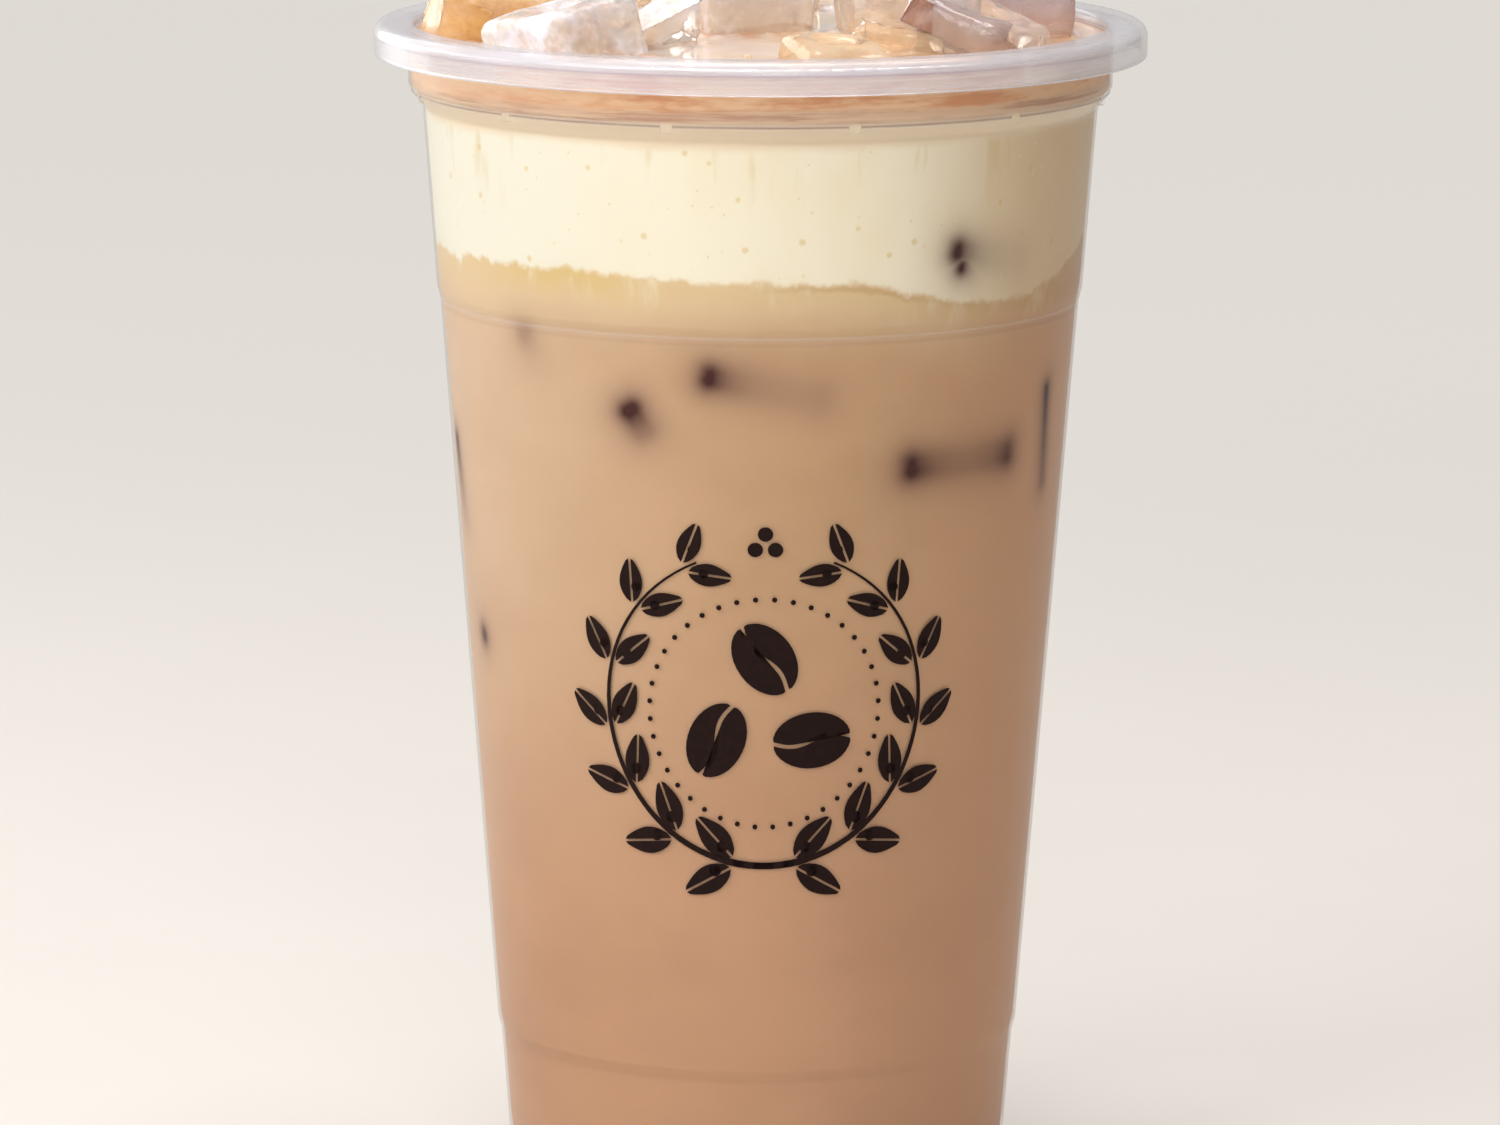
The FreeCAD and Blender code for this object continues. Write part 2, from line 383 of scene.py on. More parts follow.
@dataclass(frozen=True)
class Waves:
    """A boundary between two layers, nearly level."""

    level: float
    swells: tuple[tuple[float, int, float], ...]

    def height(self, x: float, y: float) -> float:
        """Works out the boundary's height over a point of the plan.

        Args:
            x: The point's place to the right, in mm.
            y: Its place to the back, in mm.

        Returns:
            The height in mm.
        """
        distance = math.hypot(x, y) / BODY_RADIUS
        around = math.atan2(x, -y)
        swell = sum(high * distance**number * math.cos(number * (around - math.radians(crest)))
                    for high, number, crest in self.swells)
        return self.level + swell

    def term(self, graph: Graph) -> Term:
        """Builds the boundary's height at the wall.

        Args:
            graph: The material it is for.

        Returns:
            The height in mm as a term.
        """
        around = graph.around()
        total = Term(graph.tree, graph.node("ShaderNodeValue").outputs[0])
        total.socket.default_value = self.level
        for high, number, crest in self.swells:
            total = total + high * ((around - math.radians(crest)) * float(number)).cosine()
        return total


COFFEE_EDGE = Waves(COFFEE_Z, COFFEE_WAVES)
CREAM_EDGE = Waves(CREAM_Z, CREAM_WAVES)


@dataclass(frozen=True)
class JellyStrip:
    """A strip of jelly whose end touches the wall: where, how it runs and how big it is.

    The strip runs from its end at an angle from level, to the right unless it is turned
    past a right angle, and leans inwards from the wall.
    """

    around: float
    height: float
    slope: float
    inward: float
    length: float = 16.0
    width: float = 3.0
    depth: float = 0.05

    def matrix(self, radius: float) -> Matrix:
        """Places the strip with its end at the wall.

        Args:
            radius: The wall's radius in mm at the strip's height.

        Returns:
            Its place and turn, in mm.
        """
        facing = Matrix.Rotation(math.radians(self.around), 4, "Z")
        slope = Matrix.Rotation(math.radians(-self.slope), 4, "Y")
        way = slope @ Matrix.Rotation(math.radians(self.inward), 4, "Z")
        worn = self.rounding()
        reach = -worn - sum(abs(way[1][axis]) * (half - worn) for axis, half in enumerate(self.half()))
        end = way @ Vector((-self.length / 2, 0.0, 0.0))
        out = Vector((-end.x, -radius - reach + self.depth, self.height - end.z))
        return facing @ Matrix.Translation(out) @ way

    def half(self) -> tuple[float, float, float]:
        """Half its length and its two widths."""
        return self.length / 2, self.width / 2, self.width / 2

    def rounding(self) -> float:
        """The radius of its worn edges."""
        return self.width * 0.4


JELLY = (
    JellyStrip(34.0, 114.6, -12.0, 22.0, 12.0, 3.4),
    JellyStrip(36.1, 112.5, -16.0, 40.0, 10.0, 1.8),
    JellyStrip(-11.3, 100.9, -12.0, 19.0, 15.0, 3.8),
    JellyStrip(-25.0, 97.6, -58.0, 18.0, 5.5, 3.6),
    JellyStrip(25.8, 89.6, 1.0, 15.6, 17.5, 4.6),
    JellyStrip(65.8, 96.6, -85.0, 7.0, 12.0, 1.0),
    JellyStrip(-80.5, 89.6, -80.0, 12.0, 11.0, 2.4),
    JellyStrip(-70.3, 66.3, 20.0, 60.0, 12.0, 1.8),
    JellyStrip(-47.0, 104.5, -60.0, 30.0, 9.0, 1.6, 0.9),
    JellyStrip(140.0, 97.0, -10.0, 20.0),
    JellyStrip(-150.0, 84.0, -70.0, 6.0, 14.0),
    JellyStrip(178.0, 70.0, 30.0, 30.0),
)


class Finish:
    """A material made from nodes, with the record's slot it belongs to."""

    name: str
    slot: Slot | None

    def build(self) -> bpy.types.Material:
        """Builds the material."""
        raise NotImplementedError


@dataclass(frozen=True)
class DrinkFinish(Finish):
    """The drink's layers seen through the wall, which blend where they meet.

    `warm_shade` is where, to the right and in mm, the mocha starts and ends to turn warmer, as painted
    shade on the shaded side. The heights are where the cream is streaked, where the painted shade under
    the shoulder starts and ends, and where the neck begins.
    """

    name: str
    slot: Slot
    strips: tuple[Matrix, ...] = ()
    warm_shade: tuple[float, float] = (12.0, 34.0)
    stained_z: tuple[float, float] = (CUP_HEIGHT - 21.0, CUP_HEIGHT - 10.0)
    shoulder_shade_z: tuple[float, float] = (CUP_HEIGHT - 11.0, CUP_HEIGHT - 9.8)
    neck_z: tuple[float, float] = (CUP_HEIGHT - 7.8, CUP_HEIGHT - 6.4)

    def colour(self, graph: Graph) -> bpy.types.NodeSocket:
        """Picks the layer's colour, with the blends and streaks at its edges.

        Args:
            graph: The material it is for.

        Returns:
            The colour's socket.
        """
        if self.slot is Slot.MOCHA:
            return self.sinking(graph, self.plain_cream(graph))
        _, _, z = graph.place()
        fringe = (graph.noise(0.45, 4.0, 0.6) - 0.5) * 1.6
        above = (z - COFFEE_EDGE.term(graph) + fringe * 0.35).rise(-0.5, 0.5)
        if self.slot is Slot.CREAM:
            return graph.blend(above, self.sinking(graph, self.cream(graph)), self.coffee_at_wall(graph))
        return graph.blend(above, self.neck(graph), self.coffee(graph))

    def mocha(self, graph: Graph) -> bpy.types.NodeSocket:
        """Colours the milky mocha: cloudy, redder towards the foot, paler up to the left as painted
        sheen and warmer to the right as painted shade.

        Args:
            graph: The material it is for.

        Returns:
            The colour's socket.
        """
        x, _, z = graph.place()
        clouds = graph.noise(0.04, 3.0, 0.55, (1.0, 1.0, 1.5), 7.0)
        low = graph.blend(clouds.rise(0.35, 0.7), srgb(195, 151, 117), srgb(188, 145, 112))
        high = graph.blend(clouds.rise(0.38, 0.68), srgb(195, 158, 121), srgb(189, 152, 115))
        drink = graph.blend(z.rise(28.0, 92.0), low, high)
        # Painted sheen: the mocha turns paler up to the left, broken up by cloudy noise
        sheen_clouds = graph.noise(0.06, 4.0, 0.6, (1.0, 1.0, 1.6), 31.0)
        share = z.rise(20.0, 100.0) * (1.0 - x.rise(-38.0, 2.0)) * (0.45 + sheen_clouds * 0.5)
        milky = graph.blend(share, drink, srgb(216, 189, 160))
        # Painted shade: the mocha turns warmer towards the right
        return graph.blend(x.rise(*self.warm_shade) * 0.6, milky, srgb(216, 167, 130))

    def sinking(self, graph: Graph, cream: Colour) -> bpy.types.NodeSocket:
        """Colours the cream's ragged lower edge and the yellower band where it sinks into the mocha,
        browner to the right as painted shade.

        Args:
            graph: The material it is for.
            cream: The cream's colour above the edge.

        Returns:
            The colour's socket.
        """
        x, _, z = graph.place()
        around = graph.around()
        sag = around.near(math.radians(42.0), math.radians(34.0)) * 2.3
        climb = around.near(math.radians(88.0), math.radians(26.0)) * 2.0
        under_cream = z - CREAM_EDGE.term(graph) + sag - climb
        ragged = graph.noise(0.3, 5.0, 0.65, (1.0, 1.0, 0.7), 3.0) - 0.5
        broad = graph.noise(0.07, 2.0, 0.5, (1.0, 1.0, 0.4), 13.0) - 0.5
        sunk = (under_cream + ragged * 2.0 + broad * 6.0).rise(-10.5, -1.0)
        # Painted shade: the band turns browner towards the right
        beige = graph.blend(x.rise(*self.warm_shade) * 0.8, srgb(220, 196, 158), srgb(190, 150, 114))
        band = graph.blend(sunk * 0.85, self.mocha(graph), beige)
        olive = (under_cream + ragged * 3.0 + broad * 3.0).rise(-4.5, -0.5)
        olive = olive * (0.2 + around.near(math.radians(-36.0), math.radians(26.0)) * 0.55)
        band = graph.blend(olive, band, srgb(212, 184, 118))
        line = (under_cream + ragged * 2.0).near(-0.5, 0.6)
        line = line * around.near(math.radians(18.0), math.radians(24.0))
        band = graph.blend(line * 0.5, band, srgb(186, 146, 98))
        fuzz = around.near(math.radians(-66.0), math.radians(34.0)) * 1.4
        edge = (under_cream + ragged * (3.0 + fuzz * 1.6) + broad * 1.6).rise(-0.6, 0.4)
        drips = graph.noise(0.22, 4.0, 0.6, (1.0, 1.0, 0.35), 23.0).rise(0.5, 0.68)
        edge = edge.at_least((under_cream + ragged * 3.5).rise(-4.5, -0.2) * drips * 0.55)
        return graph.blend(edge, band, cream)

    def plain_cream(self, graph: Graph) -> bpy.types.NodeSocket:
        """Colours the cream, whiter to the left as painted sheen and browner to the right as painted
        shade.

        Args:
            graph: The material it is for.

        Returns:
            The colour's socket.
        """
        x, _, _ = graph.place()
        mottle = graph.noise(0.14, 3.0, 0.5, (1.0, 1.0, 0.5), 41.0)
        pale = graph.blend(mottle.rise(0.4, 0.7) * 0.5, srgb(238, 230, 208), srgb(236, 222, 190))
        # Painted sheen: the cream turns whiter towards the left
        pale = graph.blend(1.0 - x.rise(-32.0, 0.0), pale, srgb(230, 226, 209))
        # Painted shade: the cream turns browner towards the right
        return graph.blend(x.rise(14.0, 36.0) * 0.8, pale, srgb(216, 188, 148))

    def cream(self, graph: Graph) -> bpy.types.NodeSocket:
        """Colours the cream with its specks, streaks and painted glints, with painted shade under the
        shoulder.

        Args:
            graph: The material it is for.

        Returns:
            The colour's socket.
        """
        x, _, z = graph.place()
        broad = graph.noise(0.07, 2.0, 0.5, (1.0, 1.0, 0.4), 13.0) - 0.5
        pale = self.plain_cream(graph)
        pale = graph.blend(graph.specks(0.3, 0.15, 0.6, 5.0) * 0.5, pale, srgb(214, 184, 106))
        pale = graph.blend(graph.specks(0.62, 0.13, 0.5, 15.0) * 0.4, pale, srgb(212, 180, 112))
        # Painted glints: white specks towards the right that stand for highlights on small bubbles at
        # the wall
        glints = graph.specks(0.8, 0.12, 0.5, 35.0) * x.rise(6.0, 28.0)
        pale = graph.blend(glints * 0.6, pale, srgb(250, 244, 232))
        streaks = graph.noise(0.28, 3.0, 0.6, (1.0, 1.0, 0.16), 11.0).rise(0.56, 0.7)
        pale = graph.blend(z.rise(*self.stained_z) * streaks * 0.4, pale, srgb(206, 182, 120))
        # Painted shade under the cup's shoulder: the cream turns a greyer beige there
        shade = graph.blend((z + broad * 2.0).rise(*self.shoulder_shade_z), pale, srgb(230, 213, 186))
        lines = self.neck_lines(graph)
        return graph.blend((z + lines * 0.8).rise(*self.neck_z), shade, self.neck(graph, lines))

    def neck_lines(self, graph: Graph) -> Term:
        """Draws level streaks where the cream is thin, in the cup's neck."""
        return graph.noise(0.05, 4.0, 0.7, (1.0, 1.0, 26.0), 61.0)

    def neck(self, graph: Graph, lines: Term | None = None) -> bpy.types.NodeSocket:
        """Colours the thin cream in the neck a darker beige, painted shade under the rim, with darker
        level streaks.

        Args:
            graph: The material it is for.
            lines: Its level streaks, if they are drawn already.

        Returns:
            The colour's socket.
        """
        lines = lines or self.neck_lines(graph)
        # Painted shade under the rim: a darker beige, with darker level streaks
        return graph.blend(lines.rise(0.42, 0.62), srgb(214, 180, 146), srgb(182, 138, 108))

    def coffee_at_wall(self, graph: Graph) -> bpy.types.NodeSocket:
        """Colours the thin coffee layer, streaked at the wall and paler to the left as painted sheen.

        Args:
            graph: The material it is for.

        Returns:
            The colour's socket.
        """
        x, _, _ = graph.place()
        streak = graph.noise(0.1, 4.0, 0.65, (1.0, 1.0, 6.0), 19.0)
        wall = graph.blend(streak.rise(0.4, 0.64), srgb(234, 194, 150), srgb(212, 146, 92))
        # Painted sheen: the coffee turns paler towards the left
        return graph.blend((1.0 - x.rise(-36.0, -14.0)) * 0.5, wall, srgb(238, 206, 172))

    def coffee(self, graph: Graph) -> bpy.types.NodeSocket:
        """Colours the coffee at the wall and, on top, milky, browner to the right as painted shade, and
        stained round the ice.

        Args:
            graph: The material it is for.

        Returns:
            The colour's socket.
        """
        x, _, z = graph.place()
        swirl = graph.noise(0.06, 3.0, 0.55, (1.0, 1.3, 1.0), 27.0)
        top = graph.blend(swirl.rise(0.4, 0.62), srgb(228, 212, 200), srgb(222, 196, 168))
        # Painted shade: the top turns browner towards the right
        top = graph.blend(x.rise(8.0, 34.0) * 0.8, top, srgb(210, 166, 132))
        stain = graph.attribute("near_ice") * graph.noise(0.2, 3.0, 0.6, seed=37.0).rise(0.35, 0.6)
        top = graph.blend(stain * 0.75, top, srgb(190, 120, 60))
        surface = z.rise(FILL_Z - 0.5, FILL_Z - 0.05)
        return graph.blend(surface, self.coffee_at_wall(graph), top)

    def build(self) -> bpy.types.Material:
        """Builds the layer's material, which is glossy where its top is wet.

        Returns:
            The material.
        """
        graph = Graph(self.name)
        colour = self.colour(graph)
        if self.strips:
            colour = self.shadowed(graph, colour)
        ripple = graph.noise(0.3, 2.0, 0.5)
        _, _, z = graph.place()
        wet = z.rise(FILL_Z - 0.3, FILL_Z - 0.05)
        surface = graph.principled(
            Base_Color=colour, Roughness=0.5, Specular_IOR_Level=0.12, Coat_Weight=wet,
            Coat_Roughness=0.06, Normal=graph.bump(ripple, 0.06, 0.25))
        return graph.finish(surface)

    def shadowed(self, graph: Graph, colour: Colour) -> bpy.types.NodeSocket:
        """Darkens the drink where a strip of jelly lies close behind its surface.

        Args:
            graph: The material it is for.
            colour: The drink's colour away from the jelly.

        Returns:
            The colour's socket.
        """
        place = graph.vector(*graph.place())
        nearest = None
        for matrix, strip in zip(self.strips, JELLY):
            if self.slot is Slot.CREAM and strip.height < CREAM_Z - JELLY_SHADE:
                continue
            gap = self.distance(graph, place, matrix, strip)
            nearest = gap if nearest is None else nearest.at_most(gap)
        faint = (nearest * -0.75).exponential()
        crisp = (nearest * -2.2).exponential()
        colour = graph.blend(faint * 0.7, colour, srgb(118, 76, 66))
        return graph.blend(crisp * 0.97, colour, srgb(62, 14, 6))

    def distance(self, graph: Graph, place: bpy.types.NodeSocket, matrix: Matrix,
                 strip: JellyStrip) -> Term:
        """Measures how far a point is from a strip of jelly.

        Args:
            graph: The material it is for.
            place: The point, in mm.
            matrix: The strip's place and turn, in mm.
            strip: The strip.

        Returns:
            The distance in mm, 0 inside the strip.
        """
        past = graph.node("ShaderNodeMapping", {"vector_type": "TEXTURE"}, {
            "Vector": place, "Location": matrix.translation, "Rotation": matrix.to_euler()}).outputs[0]
        core = [half - strip.rounding() for half in strip.half()]
        steps = (("ABSOLUTE", {}), ("SUBTRACT", {1: core}), ("MAXIMUM", {1: (0.0, 0.0, 0.0)}))
        for operation, other in steps:
            inputs = {0: past, **other}
            past = graph.node("ShaderNodeVectorMath", {"operation": operation}, inputs).outputs[0]
        far = graph.node("ShaderNodeVectorMath", {"operation": "LENGTH"}, {0: past})
        return (Term(graph.tree, far.outputs["Value"]) - strip.rounding()).at_least(0.0)


@dataclass(frozen=True)
class CupFinish(Finish):
    """Polypropylene, clear in the body and milky where it is thick.

    Its marks are given by their depth under the lip, in mm: the purple edge of the flange,
    the painted highlights on the lip skirt's seam lines, the dark ring of painted shade in the ledge
    with a fainter one above it, and the upper step's painted highlight with the painted shade of
    the crease under it.
    """

    name: str = "clear_cup"
    slot: Slot = Slot.CUP
    flange_end: float = 0.9
    purple_edge: float = 1.55
    seam_highlights: tuple[float, float, float] = (3.7, 2.1, 2.7)
    lip_end: float = 3.6
    ring: float = 7.75
    upper_shade_ring: float = 7.0
    neck_end: float = 7.1
    step: float = 32.1
    crease: float = 32.75

    def build(self) -> bpy.types.Material:
        """Builds a clear shader with a milky veil on the marks and a gloss over both.

        Returns:
            The material.
        """
        graph = Graph(self.name)
        _, _, z = graph.place()
        depth = CUP_HEIGHT - z
        haze = graph.noise(0.05, 2.0)
        inside = 1.0 - graph.out().rise(LEDGE_RADIUS + 0.08, LEDGE_RADIUS + 0.16)
        # Painted shade: a dark ring in the ledge's groove, and a fainter one above it
        ring = (depth.near(self.ring, 0.3) + depth.near(self.upper_shade_ring, 0.2) * 0.4) * inside
        # Painted highlights: white lines of veil along the seam lines of the lip's skirt
        low, high, between = self.seam_highlights
        seam_highlights = depth.near(low, 0.3) + depth.near(high, 0.22) * 0.4 + depth.near(between, 0.15) * 0.3
        lip = 1.0 - depth.rise(self.lip_end, self.lip_end + 0.6)
        flange = 1.0 - depth.rise(self.flange_end, self.flange_end + 0.8)
        purple = depth.near(self.purple_edge, 0.22)
        neck = 1.0 - depth.rise(self.neck_end, self.neck_end + 2.5)
        veil = 0.004 + haze * 0.008 + neck * 0.05 + ring * 0.5
        veil = veil + lip * (0.08 + haze * 0.1) + flange * 0.11 + seam_highlights * 0.16 + purple * 0.1
        milky = graph.blend(purple * 0.7, srgb(238, 237, 246), srgb(150, 130, 178))
        milky = graph.blend(ring, milky, srgb(98, 62, 48))
        # Painted highlight along the upper step, and painted shade in the crease under it
        crease = depth.near(self.crease, 0.5)
        veil = veil + depth.near(self.step, 0.35) * 0.1 + crease * 0.11
        milky = graph.blend(crease, milky, srgb(170, 122, 100))
        ripple = graph.noise(0.08, 2.0, 0.5, (1.0, 1.0, 0.35), 5.0)
        normal = graph.bump(ripple, 0.25, 0.5)
        body = graph.principled(Base_Color=milky, Roughness=0.35, Specular_IOR_Level=0.3)
        clear = graph.node("ShaderNodeBsdfTransparent").outputs[0]
        gloss = graph.node("ShaderNodeBsdfGlossy", inputs={"Roughness": 0.16, "Normal": normal})
        facing = graph.node("ShaderNodeLayerWeight", inputs={"Blend": 0.3, "Normal": normal})
        shine = Term(graph.tree, facing.outputs["Fresnel"]) * 0.55
        veiled = graph.mixed(veil.at_most(1.0), clear, body)
        return graph.finish(graph.mixed(shine, veiled, gloss.outputs[0]))


@dataclass(frozen=True)
class IceFinish(Finish):
    """Melting ice, cloudy and pale above, creamy where it is wet with the drink, snowy in patches.

    `low` and `high` are its colours at the drink and above it, `frost` is its cloudy share,
    `snow` how much of it has turned white and `gold` how far the drink has soaked in.
    """

    name: str
    low: tuple[int, int, int]
    high: tuple[int, int, int]
    frost: float
    snow: float
    gold: float
    seed: float
    slot: Slot = Slot.ICE
    index: float = 1.31

    def build(self) -> bpy.types.Material:
        """Builds a clear shader and a frosted one, mixed by the ice's clouds.

        Returns:
            The material.
        """
        graph = Graph(self.name)
        _, _, z = graph.place()
        cloud = graph.noise(0.1, 4.0, 0.6, seed=self.seed * 3.7)
        grain = graph.noise(0.7, 4.0, 0.7, seed=self.seed * 2.3)
        height = z + (cloud - 0.5) * 7.0 + (grain - 0.5) * 3.0
        tint = graph.blend(height.rise(FILL_Z + 1.5, FILL_Z + 8.0), srgb(*self.low), srgb(*self.high))
        vein = grain.near(0.5, 0.05) * cloud.rise(0.4, 0.6)
        soaked = (cloud.rise(0.62, 0.4) * grain.rise(0.35, 0.65) * 0.8 + vein * 0.4).at_most(1.0)
        tint = graph.blend(soaked * self.gold, tint, srgb(206, 138, 66))
        waterline = 1.0 - (z + (grain - 0.5) * 1.6).rise(FILL_Z, FILL_Z + 1.3)
        tint = graph.blend(waterline * 0.5, tint, srgb(220, 160, 100))
        white = (cloud * 0.8 + grain * 0.2).rise(0.5 - self.snow * 0.1, 0.66 - self.snow * 0.08)
        white = white * self.snow
        tint = graph.blend(white, tint, srgb(234, 234, 246))
        share = (self.frost * (0.35 + cloud * 0.5) + white * 0.5).at_most(1.0)
        normal = graph.bump(cloud + grain * (0.1 + self.gold * 0.4), 0.4, 0.6)
        through = graph.blend(0.6, tint, srgb(255, 251, 244))
        clear = graph.principled(
            Base_Color=through, Roughness=0.03 + grain * 0.08, IOR=self.index,
            Transmission_Weight=1.0, Normal=normal)
        frosted = graph.principled(Base_Color=tint, Roughness=0.3 - grain * 0.12, Normal=normal)
        return graph.finish(graph.mixed(share, clear, frosted))


@dataclass(frozen=True)
class JellyFinish(Finish):
    """Dark cocoa jelly."""

    name: str = "cocoa_jelly"
    slot: Slot = Slot.JELLY

    def build(self) -> bpy.types.Material:
        """Builds the jelly's material, a little cloudy.

        Returns:
            The material.
        """
        graph = Graph(self.name)
        cloud = graph.noise(0.3, 3.0)
        colour = graph.blend(cloud, srgb(56, 14, 7), srgb(74, 24, 13))
        surface = graph.principled(Base_Color=colour, Roughness=0.4, Specular_IOR_Level=0.12)
        return graph.finish(surface)


@dataclass(frozen=True)
class InkFinish(Finish):
    """Near-black brown ink, a little uneven."""

    name: str = "dark_print"
    slot: Slot = Slot.INK

    def build(self) -> bpy.types.Material:
        """Builds the ink's material.

        Returns:
            The material.
        """
        graph = Graph(self.name)
        grain = graph.noise(1.2, 3.0, 0.6)
        colour = graph.blend(grain, srgb(20, 10, 9), srgb(36, 20, 17))
        rough = 0.5 + grain * 0.1
        surface = graph.principled(Base_Color=colour, Roughness=rough, Specular_IOR_Level=0.08)
        return graph.finish(surface)


@dataclass(frozen=True)
class BubbleFinish(Finish):
    """A thin film of milky coffee, mostly clear."""

    name: str = "bubble_film"
    slot: Slot = Slot.COFFEE

    def build(self) -> bpy.types.Material:
        """Builds the film's material, which shows most at its edge.

        Returns:
            The material.
        """
        graph = Graph(self.name)
        film = graph.principled(Base_Color=srgb(236, 206, 170), Roughness=0.08)
        clear = graph.node("ShaderNodeBsdfTransparent").outputs[0]
        facing = graph.node("ShaderNodeLayerWeight", inputs={"Blend": 0.45})
        edge = Term(graph.tree, facing.outputs["Facing"])
        swirl = graph.noise(1.5, 2.0)
        return graph.finish(graph.mixed(0.12 + edge * 0.6 + swirl * 0.1, clear, film))


@dataclass(frozen=True)
class StageFinish(Finish):
    """The plain pale floor."""

    name: str = "floor"
    slot: Slot | None = None

    def build(self) -> bpy.types.Material:
        """Builds the floor's material, lit near the cup and even far from it.

        Returns:
            The material.
        """
        graph = Graph(self.name)
        grain = graph.noise(0.02, 2.0)
        colour = graph.blend(grain, srgb(214, 207, 200), srgb(220, 214, 207))
        lit = graph.principled(Base_Color=colour, Roughness=0.7)
        shown = graph.node("ShaderNodeEmission", inputs={"Color": srgb(226, 221, 215)}).outputs[0]
        far = graph.out().rise(90.0, 700.0) * 0.55 + 0.4
        return graph.finish(graph.mixed(seen_rays(graph) * far, lit, shown))


def seen_rays(graph: Graph) -> Term:
    """Tells the rays that come from the camera, straight, by gloss or through clear ice.

    Args:
        graph: The material or world it is for.

    Returns:
        A term that is 1 on those rays.
    """
    path = graph.node("ShaderNodeLightPath")
    kinds = ("Is Camera Ray", "Is Glossy Ray", "Is Transmission Ray")
    camera, glossy, passed = (Term(graph.tree, path.outputs[kind]) for kind in kinds)
    return camera.at_least(glossy).at_least(passed)


def mesh_object(name: str, bm: bmesh.types.BMesh, material: bpy.types.Material,
                smooth: bool = True) -> bpy.types.Object:
    """Turns a bmesh into an object at the origin.

    Args:
        name: The object's name.
        bm: Its mesh in metres, freed here.
        material: Its one material.
        smooth: Whether its faces are shaded smooth.

    Returns:
        The new object, linked to the scene.
    """
    bmesh.ops.recalc_face_normals(bm, faces=bm.faces)
    for edge in bm.edges:
        edge.smooth = len(edge.link_faces) != 2 or edge.calc_face_angle() < SHARP_ANGLE
    mesh = bpy.data.meshes.new(name)
    bm.to_mesh(mesh)
    bm.free()
    mesh.materials.append(material)
    mesh.polygons.foreach_set("use_smooth", [smooth] * len(mesh.polygons))
    item = bpy.data.objects.new(name, mesh)
    bpy.context.scene.collection.objects.link(item)
    return item


def enlist(item: bpy.types.Object, nodes: Sequence[str] = ()) -> None:
    """Puts a piece on the body, hides the CAD nodes that it replaces and logs its face count.

    Args:
        item: The piece.
        nodes: The CAD nodes that it replaces.
    """
    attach(item, "root")
    if nodes:
        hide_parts(*nodes)
    log.info("%s: %d faces", item.name, len(item.data.polygons))


class CupSurface:
    """The inner and outer faces of the cup, measured on its CAD solid."""

    bearing: float = 0.1
    reach: float = 60.0

    def __init__(self) -> None:
        """Makes a search tree of the cup."""
        bm = bmesh.new()
        bm.from_mesh(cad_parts["cup"].data)
        bmesh.ops.remove_doubles(bm, verts=bm.verts, dist=WELD)
        self.tree = BVHTree.FromBMesh(bm)
        bm.free()
        self._inner = {}

    def inner(self, height: float) -> float:
        """Measures the inner wall.

        Args:
            height: Where, in mm.

        Returns:
            The inner radius in mm.
        """
        key = round(height, 2)
        if key not in self._inner:
            way = Vector((math.sin(self.bearing), -math.cos(self.bearing), 0.0))
            hit = self.tree.ray_cast(Vector((0.0, 0.0, height * MM)), way)[0]
            self._inner[key] = math.hypot(hit.x, hit.y) / MM
        return self._inner[key]

    def outer(self, around: float, height: float) -> float:
        """Measures the outer wall.

        Args:
            around: The bearing from the front, in radians.
            height: Where, in mm.

        Returns:
            The outer radius in mm.
        """
        way = Vector((math.sin(around), -math.cos(around), 0.0))
        start = way * self.reach * MM + Vector((0.0, 0.0, height * MM))
        hit = self.tree.ray_cast(start, -way)[0]
        return math.hypot(hit.x, hit.y) / MM


